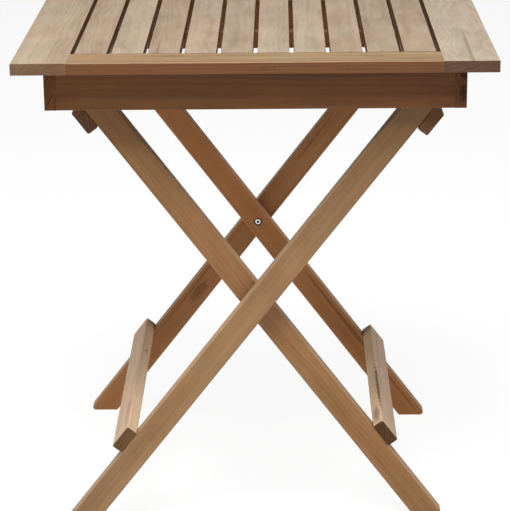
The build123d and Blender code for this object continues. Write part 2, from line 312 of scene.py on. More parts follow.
# %% [markdown]
# ## Growth rings in the solid
#
# A trunk is a cone of growth rings round the pith. A board is a straight cut through it, so the
# rings are worked out in the solid: distance from a pith line that passes near the board. The
# same sum then gives long flames on a broad face, straight lines on an edge and arcs on the end
# grain, and they meet at the corners, which a picture mapped on each face would never do.

# %% Rings
RING_WIDTH = 0.0042
PITH_WANDER = 0.012


def ring_pattern(graph, grain, pith, wander, swirl):
    """0 in the pale early wood, rising to 1 at the end of each ring, and the ring's own number."""
    along, across, through = graph.split(grain)
    pith_across, pith_through, lean = pith
    side = across - along * lean - pith_across + (wander - 0.5) * PITH_WANDER
    depth = through - pith_through
    distance = graph.math("SQRT", side * side + depth * depth)
    rings = distance / RING_WIDTH + wander * 3.0 + swirl
    phase = graph.math("FRACT", rings)
    number = graph.math("FLOOR", rings)
    late = graph.smooth_step(phase, 0.10, 0.88) - graph.smooth_step(phase, 0.88, 1.0)
    return late, number


print("a leg crosses about", round(2 * demo.half[1] / RING_WIDTH), "rings")

# %% [markdown]
# ## Finer layers
#
# On top of the rings go fibres drawn out along the board, short dark pores that follow the rings,
# a slow drift of tone, and now and then a dark mineral streak. Each is a noise stretched along
# the grain, so one helper takes how many blotches it has in a metre along and across the board.

# %% Layers of the wood
class Layers:
    """The patterns of one board, as wires between 0 and 1."""

    def __init__(self, graph, grain, shift, pith, stain):
        moved = graph.add("ShaderNodeVectorMath", {"operation": "ADD"}, {0: grain, 1: shift})
        along, across, through = graph.split(moved)

        def layer(per_along, per_across, detail=2.0, roughness=0.5):
            """Noise drawn out along the board, with so many blotches a metre each way."""
            stretched = graph.vector(along * per_along, across * per_across, through * per_across)
            return graph.noise(stretched, 1.0, detail, roughness)

        wander = layer(1.6, 7.0, 3.0, 0.45)
        swirl = (layer(9.0, 24.0, 2.0, 0.45) - 0.5) * (3.0 * stain.swirl)
        self.late, number = ring_pattern(graph, grain, pith, wander, swirl)
        self.per_ring = graph.add(
            "ShaderNodeTexWhiteNoise", {"noise_dimensions": "1D"}, {"W": number}, output="Value")
        self.fibre = layer(22.0, 1500.0, 2.0, 0.6)
        self.streaks = layer(3.0, 190.0, 3.0, 0.6)
        self.bands = layer(1.4, 48.0, 2.0, 0.5)
        self.mottle = layer(11.0, 26.0, 3.0, 0.55)
        self.golden = layer(6.0, 15.0, 2.0, 0.5)
        self.pores = graph.smooth_step(layer(110.0, 1900.0, 1.0), 0.66, 0.74) * (
            0.35 + self.late * 0.65)
        self.mineral = graph.smooth_step(layer(1.3, 85.0, 1.0, 0.4), 0.72, 0.79)

    def depth_of_colour(self, graph, end, tone, stain):
        """How deep the colour is at each point, 0.5 being the stain's own."""
        rings = (self.late * (0.45 + self.per_ring * 1.1) - 0.42) * (0.01 + stain.rings)
        depth = 0.5 + rings * (1.0 + end * 1.4)
        depth = depth + (self.streaks - 0.5) * (0.55 * stain.streaks)
        depth = depth + (self.bands - 0.5) * (1.3 * stain.streaks)
        depth = depth + (self.mottle - 0.5) * (2.0 * stain.mottle)
        depth = depth + (self.fibre - 0.5) * 0.34 + tone * 0.12
        return graph.add("ShaderNodeClamp", None, {"Value": depth})


# %% [markdown]
# ## Colour, gloss and bump
#
# The depth of colour runs between a lighter and a darker form of the stain. Faces that look up
# get a paler, greyer colour, which is painted light for the light and sheen from above, and the
# legs get a painted shade towards the top. End grain drinks more oil and goes darker, knots and
# pores go nearly black, and the corners come out paler, partly as wear and partly as a painted
# highlight on the eased edges. The gloss and the bump read the same layers, so a pore is dark,
# dull and sunk at one and the same place.

# %% Shade a board
LIGHTEST = (1.28, 1.34, 1.42)
DARKEST = (0.72, 0.66, 0.60)
COOL = (0.978, 1.010, 1.012)
GOLDEN = (1.028, 0.986, 0.972)
UNDER_TOP_SHADE_TINT = (0.46, 0.43, 0.39)
UNDER_TOP_SHADE_FROM, UNDER_TOP_SHADE_FULL = 0.42, 0.72
KNOT = (0.30, 0.24, 0.20)
RUBBED_AND_HIGHLIT = (1.45, 1.45, 1.42)


def wood_colour(graph, layers, end, edge, tone, dark, stain):
    """A board's colour: end grain, marks, paler corners, painted light above, painted shade below.
    """
    def tinted(colour, tint):
        return graph.mix_colour(1.0, colour, tint, "MULTIPLY")

    upward = graph.split(graph.add("ShaderNodeTexCoord", output="Normal"))[2]
    # Painted light: faces that look up are mixed towards the paler, greyer colour, for the light
    # and sheen from above.
    painted_top_light = graph.smooth_step(upward, 0.25, 0.9) * (1.0 - end)
    base = graph.mix_colour(painted_top_light, stain.colour, stain.top_light_colour)
    depth = layers.depth_of_colour(graph, end, tone, stain)
    colour = graph.mix_colour(depth, tinted(base, LIGHTEST), tinted(base, DARKEST))
    golden = graph.smooth_step(layers.golden, 0.34, 0.66)
    colour = tinted(colour, graph.mix_colour(golden, GOLDEN, COOL))
    # Painted shade: towards the top the legs darken, for the shade under the tabletop.
    if stain.painted_shade_under_top:
        height = graph.split(graph.add("ShaderNodeTexCoord", output="Object"))[2]
        under_top_shade = graph.smooth_step(height, UNDER_TOP_SHADE_FROM, UNDER_TOP_SHADE_FULL) * stain.painted_shade_under_top
        colour = graph.mix_colour(under_top_shade, colour, tinted(colour, UNDER_TOP_SHADE_TINT))
    colour = graph.mix_colour(dark, colour, tinted(base, KNOT))
    colour = graph.mix_colour(end, colour, tinted(colour, stain.end_tint))
    # Paler corners: partly sanding wear, partly a painted highlight where the eased edges catch
    # the light.
    wear_and_edge_highlight = edge * (0.35 + 0.65 * graph.smooth_step(layers.streaks + layers.bands, 0.75, 1.25))
    return graph.mix_colour(wear_and_edge_highlight * 0.45, colour, tinted(colour, RUBBED_AND_HIGHLIT))


def shade_wood(graph, shader, grain, shift, end, edge, tone, pith, stain, marks=None, gloss=0.28):
    """Colours, gloss and bump of one board. grain is along, across and through in metres.

    shift moves the noise, so that no two boards share a stretch of it. marks is the darkness of
    the board's own knots and splits.
    """
    layers = Layers(graph, grain, shift, pith, stain)
    dark = graph.math("MAXIMUM", layers.pores * 0.5, layers.mineral * 0.5)
    if marks is not None:
        dark = graph.math("MAXIMUM", dark, marks)
    colour = wood_colour(graph, layers, end, edge, tone, dark, stain)
    plug(graph, colour, shader.inputs["Base Color"])

    fibre, late, pores = layers.fibre, layers.late, layers.pores
    rough = 0.52 + (fibre - 0.5) * 0.20 - late * 0.05 + pores * 0.18 + end * 0.14
    plug(graph, graph.add("ShaderNodeClamp", None, {"Value": rough}), shader.inputs["Roughness"])
    height = fibre * 0.45 - pores * 1.0 - late * 0.15 + layers.streaks * 0.25 - dark * 0.6
    bump = graph.add("ShaderNodeBump", None, {
        "Strength": 0.32, "Distance": 0.00035, "Height": height}, output="Normal")
    plug(graph, bump, shader.inputs["Normal"])
    shader.inputs["IOR"].default_value = 1.48
    shader.inputs["Specular IOR Level"].default_value = gloss


# %% [markdown]
# ## Corners and marks
#
# The paler corners of a board, partly sanding wear and partly a painted highlight on the eased
# edges, are where one of its two cross-grain positions nears its half size. A knot, a gum line or
# a split is a soft ellipsoid in the solid with a ragged rim: where it cuts the board's faces it
# shows on both sides of a corner, as the real thing does.

# %% Corners and spots
EDGE_WEAR_AND_HIGHLIGHT_WIDTH = 0.0022
RAGGED = 1.6


def near_edge(graph, position, half):
    """1 at the two long edges of one direction, 0 away from them."""
    gap = half - graph.math("ABSOLUTE", position)
    return 1.0 - graph.smooth_step(gap, 0.0, EDGE_WEAR_AND_HIGHLIGHT_WIDTH)


def spot(graph, grain, place, size, wobble, turn):
    """1 in the middle of a blurred, uneven patch at a place on the board, 0 outside it."""
    along, across, through = [part - middle for part, middle in zip(graph.split(grain), place)]
    sides = (
        along / size[0],
        (across * cos(turn) + through * sin(turn)) / size[1],
        (through * cos(turn) - across * sin(turn)) / size[2])
    reach = graph.math("SQRT", sides[0] * sides[0] + sides[1] * sides[1] + sides[2] * sides[2])
    return 1.0 - graph.smooth_step(reach + (wobble - 0.5) * RAGGED, 0.5, 1.0)


# %% [markdown]
# ## One material for one board
#
# No two boards come from the same place in a trunk, so each gets its own stretch of noise and its
# own pith line, drawn by a random generator that is seeded with the board's name. End grain is
# found by comparing a face's direction with the board's length.

# %% Wood for a board
OILED_GLOSS = 0.40
DRY_GLOSS = 0.16
PITH_SIDEWAYS = 0.05
PITH_NEAREST, PITH_FARTHEST = 0.025, 0.11
PITH_LEAN = 0.035


def wood_for_board(board, stain, spots=()):
    """A wood material of its own for one board.

    A spot is a knot, a gum line or a split: (place in the room, half size, turn, darkness).
    """
    chance = random.Random(board.name)
    material, graph, shader = new_material("wood_" + board.name)
    grain = board.coordinates(graph)
    along, across, through = graph.split(grain)
    facing = graph.add("ShaderNodeTexCoord", output="Normal")
    end_on = graph.add("ShaderNodeVectorMath", {"operation": "DOT_PRODUCT"}, {
        0: facing, 1: board.axes[0]}, output="Value")
    end = graph.smooth_step(graph.math("ABSOLUTE", end_on), 0.75, 0.97)
    edge = near_edge(graph, across, board.half[1]) * near_edge(graph, through, board.half[2])
    shift = [chance.uniform(-3.0, 3.0) for _ in range(3)]
    pith = (
        chance.uniform(-PITH_SIDEWAYS, PITH_SIDEWAYS),
        chance.choice([-1, 1]) * chance.uniform(PITH_NEAREST, PITH_FARTHEST),
        chance.uniform(-PITH_LEAN, PITH_LEAN))
    marks = None
    if spots:
        wobble = graph.noise(grain, 240.0, 3.0, 0.6)
        for place, size, turn, darkness in spots:
            mark = spot(graph, grain, board.local(place), size, wobble, turn) * darkness
            marks = mark if marks is None else graph.math("MAXIMUM", marks, mark)
    gloss = OILED_GLOSS if stain in (SIDE, DARK_SIDE, SHADED_DARK_RAIL) else DRY_GLOSS
    tone = chance.uniform(-1.0, 1.0)
    shade_wood(graph, shader, grain, shift, end, edge, tone, pith, stain, marks, gloss)
    return material


def dress(node, material):
    """Gives a carried-over node of the frame one material."""
    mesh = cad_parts[node].data
    mesh.materials.clear()
    mesh.materials.append(material)


# %% [markdown]
# ## Dressing the boards of the frame
#
# The side boards, rails, aprons, legs and bars already have their true shape, with sanded edges
# and domed leg tips, so they stay and only get their wood. Each one gets a material of its own,
# because no two boards come from the same place in a trunk. The timber is sorted into stains:
# boards for the top that are paler on their upper faces, which is painted light, dark ones for the
# apron and the rails, partly their own colour and partly painted shade, straight-grained lengths
# for legs, and a darker copy for the far leg, which is painted shade.

# %% Choose the timber
timber = {
    "left_side_board": SIDE,
    "right_side_board": DARK_SIDE,
    "front_rail": SHADED_DARK_RAIL,
    "back_rail": SHADED_DARK_RAIL,
    "centre_batten": SHADED_DARK_APRON,
    "front_apron": SHADED_DARK_APRON,
    "back_apron": SHADED_DARK_APRON,
    "left_apron": SHADED_DARK_APRON,
    "right_apron": SHADED_DARK_APRON,
    "outer_front_leg": LEG,
    "outer_back_leg": SHADED_FAR_LEG,
    "inner_front_leg": INNER_LEG,
    "inner_back_leg": BACK_LEG,
    "outer_lower_stretcher": BAR,
    "inner_lower_stretcher": RIGHT_BAR,
    "outer_top_crossbar": CROSSBAR,
    "inner_top_crossbar": CROSSBAR}

print(len(timber), "boards in", len(set(timber.values())), "stains")

# %% [markdown]
# ## Knots, a gum line and a split
#
# A few boards have a mark of their own: two knots at the end of one apron, a drying split at the
# end of the other, curly figure round a healed bud on the front rail, a dark gum line along a
# stretcher. Each is placed in the room and given its half size along, across and through its
# board, so it stays with the board when the table folds.

# %% Marks in the boards
def mark(place, half_size, darkness, turn=0.0):
    """One mark: where it is in the room, its half size on the board, and how dark it is."""
    return place, half_size, turn, darkness


marks_of = {
    "right_apron": [
        mark((0.3015, -0.267, 0.7225), (0.030, 0.0085, 0.0070), 0.95),
        mark((0.3020, -0.267, 0.6960), (0.030, 0.0160, 0.0075), 0.80)],
    "left_apron": [
        mark((-0.3000, -0.267, 0.6860), (0.020, 0.0160, 0.0009), 0.90, turn=0.55)],
    "front_rail": [
        mark((0.0150, -0.300, 0.7400), (0.022, 0.012, 0.0040), 0.30),
        mark((0.0650, -0.300, 0.7440), (0.060, 0.012, 0.0014), 0.40),
        mark((0.1500, -0.300, 0.7390), (0.050, 0.012, 0.0012), 0.40)],
    "outer_back_leg": [
        mark((-0.1090, 0.221, 0.2240), (0.030, 0.010, 0.020), 0.50),
        mark((0.0900, 0.221, 0.4950), (0.060, 0.003, 0.010), 0.40)],
    "inner_lower_stretcher": [
        mark((0.1918, -0.070, 0.1622), (0.115, 0.0036, 0.0040), 0.95),
        mark((0.1842, -0.178, 0.1572), (0.032, 0.0080, 0.0075), 0.65)],
    "outer_lower_stretcher": [
        mark((-0.1946, 0.098, 0.1604), (0.007, 0.0060, 0.0028), 0.85)]}

# %% Dress the boards
for node_name, stain in timber.items():
    board = Board(node_name)
    dress(node_name, wood_for_board(board, stain, marks_of.get(node_name, ())))
    print(node_name, "is", [round(2 * value, 3) for value in board.half], "m")

# %% [markdown]
# ## Pieces that grow from a rule
#
# Slats, bolts and screws repeat, so Geometry Nodes make them. Each tree has named inputs for its
# sizes. `grow` hangs a tree on a small mesh of loose points, sets the inputs by their identifiers,
# and turns the result into a plain mesh. The object stays at the origin, with its place in its
# mesh, and the modifier is cleared from it at the end.

# %% Start, finish and grow a tree
def new_tree(name, inputs):
    """A Geometry Nodes tree with named inputs, given as name: (socket type, value)."""
    tree = bpy.data.node_groups.new(name, "GeometryNodeTree")
    tree.interface.new_socket("Geometry", in_out="OUTPUT", socket_type="NodeSocketGeometry")
    tree.interface.new_socket("Places", in_out="INPUT", socket_type="NodeSocketGeometry")
    for socket_name, (kind, value) in inputs.items():
        socket = tree.interface.new_socket(socket_name, in_out="INPUT", socket_type=kind)
        if value is not None:
            socket.default_value = value
    graph = Graph(tree)
    source = tree.nodes.new("NodeGroupInput")
    values = {socket.name: Wire(graph, socket) for socket in source.outputs if socket.name}
    return tree, graph, values


def finish_tree(graph, wire):
    """Makes a wire the geometry that comes out of the tree."""
    sink = graph.tree.nodes.new("NodeGroupOutput")
    graph.tree.links.new(wire.socket, sink.inputs[0])


def grow(name, tree, inputs, places=()):
    """Runs a tree on a mesh of single points and returns the result as a plain object."""
    seed_mesh = bpy.data.meshes.new(name + "_seed")
    seed_mesh.from_pydata(list(places), [], [])
    grown = bpy.data.objects.new(name, seed_mesh)
    bpy.context.scene.collection.objects.link(grown)
    modifier = grown.modifiers.new("grow", "NODES")
    modifier.node_group = tree
    identifiers = {
        item.name: item.identifier for item in tree.interface.items_tree if item.in_out == "INPUT"}
    for input_name, value in inputs.items():
        modifier[identifiers[input_name]] = value
    depsgraph = bpy.context.evaluated_depsgraph_get()
    mesh = bpy.data.meshes.new_from_object(grown.evaluated_get(depsgraph), depsgraph=depsgraph)
    grown.modifiers.clear()
    grown.data = mesh
    mesh.name = name
    return grown


# %% [markdown]
# ## Numbers that stay on the mesh
#
# A copy made by a tree has no material of its own, so what sets it apart is stored on the mesh as
# a named attribute. The random ones come from a fixed seed and the copy's own number, so the
# table is the same each time.

# %% Random numbers and attributes
def random_value(graph, kind, low, high, identity, seed):
    """A random number or vector for each copy, from a fixed seed."""
    node = graph.tree.nodes.new("FunctionNodeRandomValue")
    node.data_type = kind
    sockets = [socket for socket in node.inputs if socket.enabled]
    sockets[0].default_value = low
    sockets[1].default_value = high
    graph.tree.links.new(identity.socket, node.inputs["ID"])
    node.inputs["Seed"].default_value = seed
    return Wire(graph, next(socket for socket in node.outputs if socket.enabled))


def store(graph, geometry, name, kind, domain, value):
    """Writes a value on the geometry under a name that a material can read."""
    node = graph.tree.nodes.new("GeometryNodeStoreNamedAttribute")
    node.data_type = kind
    node.domain = domain
    node.inputs["Name"].default_value = name
    graph.tree.links.new(geometry.socket, node.inputs["Geometry"])
    graph.tree.links.new(value.socket, node.inputs["Value"])
    return Wire(graph, node.outputs[0])


# %% [markdown]
# ## The slats
#
# Ten slats fill the frame of the top. Each is a rounded rectangle swept along a line, set out on a
# row of points. Real slats differ a little, so each one gets random numbers of its own: where its
# pith lay, how dark it is, and a barely visible waver of its edges. These are stored on the mesh
# as attributes, which the slat material reads.

# %% The slat tree
SLAT_ROUNDS, SLAT_STEPS = 4, 40
TONE_SEED, SHIFT_SEED, PITH_SEED = 4, 11, 23
SHARP_FROM = radians(35.0)

slat_tree, tree, given = new_tree("slats", {
    "Count": ("NodeSocketInt", 10),
    "First": ("NodeSocketVector", None),
    "Pitch": ("NodeSocketFloat", 0.05),
    "Width": ("NodeSocketFloat", 0.04),
    "Length": ("NodeSocketFloat", 0.5),
    "Thickness": ("NodeSocketFloat", 0.02),
    "Ease": ("NodeSocketFloat", 0.001),
    "Waver": ("NodeSocketFloat", 0.0002),
    "Material": ("NodeSocketMaterial", None)})

outline = tree.add("GeometryNodeCurvePrimitiveQuadrilateral", {"mode": "RECTANGLE"}, {
    "Width": given["Width"], "Height": given["Thickness"]})
outline = tree.add("GeometryNodeFilletCurve", {"mode": "POLY"}, {
    "Curve": outline, "Count": SLAT_ROUNDS, "Radius": given["Ease"]})
half_length = given["Length"] * 0.5
spine = tree.add("GeometryNodeCurvePrimitiveLine", None, {
    "Start": tree.vector(0.0, 0.0, half_length * -1.0), "End": tree.vector(0.0, 0.0, half_length)})
spine = tree.add("GeometryNodeResampleCurve", None, {"Curve": spine, "Count": SLAT_STEPS})
slat = tree.add("GeometryNodeCurveToMesh", None, {
    "Curve": spine, "Profile Curve": outline, "Fill Caps": True})
slat = tree.add("GeometryNodeTransform", None, {
    "Geometry": slat, "Rotation": (radians(-90.0), 0.0, 0.0)})
row = tree.add("GeometryNodeMeshLine", {"mode": "OFFSET", "count_mode": "TOTAL"}, {
    "Count": given["Count"], "Start Location": given["First"],
    "Offset": tree.vector(given["Pitch"], 0.0, 0.0)})
slats = tree.add("GeometryNodeInstanceOnPoints", None, {"Points": row, "Instance": slat})
number = tree.add("GeometryNodeInputIndex")
slats = store(tree, slats, "tone", "FLOAT", "INSTANCE", random_value(
    tree, "FLOAT", -1.0, 1.0, number, TONE_SEED))
slats = store(tree, slats, "shift", "FLOAT_VECTOR", "INSTANCE", random_value(
    tree, "FLOAT_VECTOR", (-3.0, -3.0, -3.0), (3.0, 3.0, 3.0), number, SHIFT_SEED))
slats = store(tree, slats, "pith", "FLOAT_VECTOR", "INSTANCE", random_value(
    tree, "FLOAT_VECTOR", (-0.045, -0.10, -0.035), (0.045, -0.03, 0.035), number, PITH_SEED))
slats = store(tree, slats, "number", "FLOAT", "INSTANCE", number)
slats = tree.add("GeometryNodeRealizeInstances", None, {"Geometry": slats})

place = tree.add("GeometryNodeInputPosition")
px, py, pz = tree.split(place)
first_x, _, first_z = tree.split(given["First"])
mine = tree.add("GeometryNodeInputNamedAttribute", {"data_type": "FLOAT"}, {"Name": "number"})
grain_across = px - first_x - mine * given["Pitch"]
slats = store(
    tree, slats, "grain", "FLOAT_VECTOR", "POINT", tree.vector(py, grain_across, pz - first_z))
shake = tree.noise(tree.vector(px * 9.0, py * 5.0, mine * 3.7), 1.0, 1.0)  # slow along a slat
slats = tree.add("GeometryNodeSetPosition", None, {
    "Geometry": slats, "Offset": tree.vector((shake - 0.5) * given["Waver"], 0.0, 0.0)})
angle = tree.add("GeometryNodeInputMeshEdgeAngle")
sharp = tree.add("FunctionNodeCompare", {"data_type": "FLOAT", "operation": "GREATER_THAN"}, {
    "A": angle, "B": SHARP_FROM})
slats = tree.add("GeometryNodeSetShadeSmooth", {"domain": "FACE"}, {
    "Geometry": slats, "Shade Smooth": True})
slats = tree.add("GeometryNodeSetShadeSmooth", {"domain": "EDGE"}, {
    "Geometry": slats, "Selection": sharp, "Shade Smooth": False})
slats = tree.add("GeometryNodeSetMaterial", None, {
    "Geometry": slats, "Material": given["Material"]})
finish_tree(tree, slats)
print("slat tree has", len(slat_tree.nodes), "nodes")

# %% Sizes of the slats
slat_names = sorted(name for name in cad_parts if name.startswith("slat_"))
first_low, first_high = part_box(slat_names[0])
second_low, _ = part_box(slat_names[1])
slat_width = first_high.x - first_low.x
slat_thickness = first_high.z - first_low.z
slat_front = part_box("front_rail")[1].y
slat_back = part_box("back_rail")[0].y
slat_length = slat_back - slat_front
slat_waver = 0.0006
slat_ease = 0.0013
print(len(slat_names), "slats", round(slat_width, 4), "x", round(slat_length, 4), "m")

# %% [markdown]
# ## Wood for the slats
#
# One material serves all ten slats. It reads each slat's own grain position, tone, shift and pith
# from the mesh, where a material for a single board has them written in.

# %% Slat wood
END_GRAIN_FULL, END_GRAIN_FROM = 0.0001, 0.0006  # distances from the slat's end

slat_wood, graph, shader = new_material("wood_slats")
grain = graph.attribute("grain")
along, across, through = graph.split(grain)
pith = graph.split(graph.attribute("pith"))
from_end = slat_length / 2 - graph.math("ABSOLUTE", along)
end = 1.0 - graph.smooth_step(from_end, END_GRAIN_FULL, END_GRAIN_FROM)
edge = near_edge(graph, across, slat_width / 2) * near_edge(graph, through, slat_thickness / 2)
tone = graph.attribute("tone", "Fac")
shift = graph.attribute("shift")
shade_wood(graph, shader, grain, shift, end, edge, tone, pith, TOP, gloss=OILED_GLOSS)
print("slat wood has", len(slat_wood.node_tree.nodes), "nodes")

# %% Grow the slats
slats = grow("slats", slat_tree, {
    "Count": len(slat_names),
    "First": (
        (first_low.x + first_high.x) / 2,
        (slat_front + slat_back) / 2,
        (first_low.z + first_high.z) / 2),
    "Pitch": second_low.x - first_low.x,
    "Width": slat_width - slat_waver,
    "Length": slat_length,
    "Thickness": slat_thickness,
    "Ease": slat_ease,
    "Waver": slat_waver,
    "Material": slat_wood})
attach(slats, "tabletop")
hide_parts(*slat_names)
low = [min(vertex.co[axis] for vertex in slats.data.vertices) for axis in range(3)]
high = [max(vertex.co[axis] for vertex in slats.data.vertices) for axis in range(3)]
print("slats reach from", np.round(low, 4), "to", np.round(high, 4))
print("slats have", len(slats.data.polygons), "faces")

# %% [markdown]
# ## Metal, nylon and dowels
#
# Little of the hardware shows: the bolt heads in their recesses, the rims of the nylon washers
# between the legs, screw heads under the top. Stainless steel, brass and nylon differ in colour,
# in how metallic they are and in their gloss, so one function makes them all. It also makes the
# pale wood of the dowels, which are too short to show a grain. Two fine noises make the gloss
# uneven, as fingerprints and weather do. The bolts' key holes get a painted shade, near black,
# and an attribute on the bolt says where.

# %% Hardware finishes
KEY_HOLE_SHADE = (0.07, 0.063, 0.057)


def plain_finish(name, colour, metallic, roughness, grain_scale, spread, shaded_key_holes=False):
    """A metal or plastic finish with a fine uneven gloss, and painted shade in the bolts' key
    holes.
    """
    material, graph, shader = new_material(name)
    place = graph.add("ShaderNodeTexCoord", output="Object")
    cloud = graph.noise(place, grain_scale, 3.0, 0.6)
    fine = graph.noise(place, grain_scale * 6.0, 2.0, 0.6)
    dark = tuple(value * 0.72 for value in colour)
    tint = graph.mix_colour(cloud, colour, dark)
    if shaded_key_holes:
        # Painted shade: the bolts' key holes are darkened to near black, for the shade in the
        # recess.
        tint = graph.mix_colour(graph.attribute("key_hole_shade", "Fac"), tint, KEY_HOLE_SHADE)
    plug(graph, tint, shader.inputs["Base Color"])
    uneven = roughness + (cloud - 0.5) * spread + (fine - 0.5) * spread
    plug(graph, uneven, shader.inputs["Roughness"])
    bump = graph.add("ShaderNodeBump", None, {
        "Strength": 0.15, "Distance": 0.0001, "Height": fine}, output="Normal")
    plug(graph, bump, shader.inputs["Normal"])
    shader.inputs["Metallic"].default_value = metallic
    return material


steel = plain_finish("steel", (0.80, 0.79, 0.77), 1.0, 0.30, 400.0, 0.18, shaded_key_holes=True)
brass = plain_finish("brass", (0.68, 0.50, 0.24), 1.0, 0.34, 400.0, 0.18)
nylon = plain_finish("nylon", (0.74, 0.73, 0.69), 0.0, 0.50, 300.0, 0.12)
dowel_wood = plain_finish("dowel_wood", (0.55, 0.38, 0.21), 0.0, 0.62, 220.0, 0.15)

hardware = {
    "apron_dowels": dowel_wood,
    "outer_dowels": dowel_wood,
    "inner_dowels": dowel_wood,
    "hinge_inserts": brass,
    "pivot_inserts": brass,
    "hinge_washers": nylon,
    "pivot_washers": nylon}
for node_name, material in hardware.items():
    dress(node_name, material)
print(len(hardware), "small nodes get", len(set(hardware.values())), "plain finishes")

# %% [markdown]
# ## Socket bolts, by Geometry Nodes
#
# Four stainless socket bolts hold the frames to each other and to the top. One tree makes a
# bolt: a knurled head with a chamfered rim, a round shank, and a hexagon cut into the head with a
# Boolean. It then puts two of them on the bolt line, the second one turned to face the first.

# %% Turned shapes
def cylinder(tree, sides, radius, depth, middle, segments=1):
    """A cylinder along Z with its middle at a height."""
    body = tree.add("GeometryNodeMeshCylinder", None, {
        "Vertices": sides, "Side Segments": segments, "Radius": radius, "Depth": depth})
    return tree.add("GeometryNodeTransform", None, {
        "Geometry": body, "Translation": tree.vector(0.0, 0.0, middle)})


def union(tree, *bodies):
    """Several bodies joined into one solid."""
    node = tree.tree.nodes.new("GeometryNodeMeshBoolean")
    node.operation = "UNION"
    for body in bodies:
        tree.tree.links.new(body.socket, node.inputs["Mesh 2"])
    return Wire(tree, node.outputs[0])


def finish_metal(tree, body, material):
    """Flat facets on the metal, one material, and the end of the tree."""
    body = tree.add("GeometryNodeSetShadeSmooth", {"domain": "FACE"}, {
        "Geometry": body, "Shade Smooth": False})
    body = tree.add("GeometryNodeSetMaterial", None, {"Geometry": body, "Material": material})
    finish_tree(tree, body)


# %% The bolt tree
KNURLS = 24  # ridges round the head, so that it has twice as many sides
HEAD_BANDS = 8
RIM_SHRINK = 0.11
KNURL_SHRINK = 0.035

bolt_tree, tree, given = new_tree("socket_bolts", {
    "Head Radius": ("NodeSocketFloat", 0.005),
    "Head Height": ("NodeSocketFloat", 0.006),
    "Shank Radius": ("NodeSocketFloat", 0.003),
    "Shank Length": ("NodeSocketFloat", 0.03),
    "Key Radius": ("NodeSocketFloat", 0.0029),
    "Key Depth": ("NodeSocketFloat", 0.003),
    "First": ("NodeSocketVector", None),
    "Apart": ("NodeSocketFloat", 0.4),
    "Material": ("NodeSocketMaterial", None)})
head_height = given["Head Height"]
head = cylinder(
    tree, 2 * KNURLS, given["Head Radius"], head_height, head_height * 0.5, segments=HEAD_BANDS)
x, y, z = tree.split(tree.add("GeometryNodeInputPosition"))
index = tree.add("GeometryNodeInputIndex")
odd = tree.math("MODULO", index, 2.0)
at_rim = tree.math("GREATER_THAN", z, head_height * 0.99)
on_side = tree.math("LESS_THAN", z, head_height * 0.80)
shrink = 1.0 - at_rim * RIM_SHRINK - on_side * odd * KNURL_SHRINK
head = tree.add("GeometryNodeSetPosition", None, {
    "Geometry": head, "Position": tree.vector(x * shrink, y * shrink, z)})
sunk = head_height * 0.3
shank_length = given["Shank Length"]
shank = cylinder(
    tree, 24, given["Shank Radius"], shank_length + sunk, (sunk - shank_length) * 0.5)
key_depth = given["Key Depth"]
key = cylinder(tree, 6, given["Key Radius"], key_depth * 2.0, head_height)
bolt = tree.add("GeometryNodeMeshBoolean", {"operation": "DIFFERENCE"}, {
    "Mesh 1": union(tree, head, shank), "Mesh 2": key})
# Painted shade: the faces inside the hex key hole are marked, so that the steel is darkened there
# for the shade in the recess.
in_key = tree.math("LESS_THAN", x * x + y * y, given["Key Radius"] * given["Key Radius"] * 1.05)
above_shank = tree.math("GREATER_THAN", z, head_height * 0.3)
below_rim = tree.math("LESS_THAN", z, head_height * 0.95)
key_hole_shade = in_key * above_shank * below_rim
bolt = store(tree, bolt, "key_hole_shade", "FLOAT", "FACE", key_hole_shade)
bolt = tree.add("GeometryNodeTransform", None, {
    "Geometry": bolt, "Rotation": (radians(90.0), 0.0, 0.0)})
line = tree.add("GeometryNodeMeshLine", {"mode": "OFFSET", "count_mode": "TOTAL"}, {
    "Count": 2, "Start Location": given["First"], "Offset": tree.vector(0.0, given["Apart"], 0.0)})
bolts = tree.add("GeometryNodeInstanceOnPoints", None, {
    "Points": line, "Instance": bolt, "Rotation": tree.vector(0.0, 0.0, index * radians(180.0))})
bolts = tree.add("GeometryNodeRealizeInstances", None, {"Geometry": bolts})
finish_metal(tree, bolts, given["Material"])
print("bolt tree has", len(bolt_tree.nodes), "nodes")

# %% [markdown]
# ## Bolts in their places
#
# The places and sizes are read from the model's own bolts, so the visible ones fit the same
# recesses. The back bolt is measured, from the seat under its head to its tip, and the tree
# turns a second one to face it across the table.

# %% Put the bolts in
BOLT_HEAD_HEIGHT = 0.006
BOLT_SHANK_RADIUS = 0.003
HEX_KEY_RADIUS = 0.0029
HEX_KEY_DEPTH = 0.003


def points_of(node_name):
    """The corners of a node's mesh, one row each."""
    return np.array([tuple(vertex.co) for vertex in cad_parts[node_name].data.vertices])


def add_bolts(node_name, body):
    """Two socket bolts where a CAD node has its own, the back one first."""
    points = points_of(node_name)
    back = points[points[:, 1] > 0]
    low, high = back.min(0), back.max(0)
    seat_y = low[1] + BOLT_HEAD_HEIGHT
    bolts = grow(node_name + "_detailed", bolt_tree, {
        "Head Radius": float(high[0] - low[0]) / 2,
        "Head Height": BOLT_HEAD_HEIGHT,
        "Shank Radius": BOLT_SHANK_RADIUS,
        "Shank Length": float(high[1] - seat_y),
        "Key Radius": HEX_KEY_RADIUS,
        "Key Depth": HEX_KEY_DEPTH,
        "First": (
            float(low[0] + high[0]) / 2, float(seat_y), float(low[2] + high[2]) / 2),
        "Apart": -2.0 * float(seat_y),
        "Material": steel})
    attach(bolts, body)
    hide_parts(node_name)
    print(node_name, len(bolts.data.polygons), "faces, heads at y =", round(float(low[1]), 4))


add_bolts("pivot_bolts", "outer_frame")
add_bolts("hinge_bolts", "tabletop")

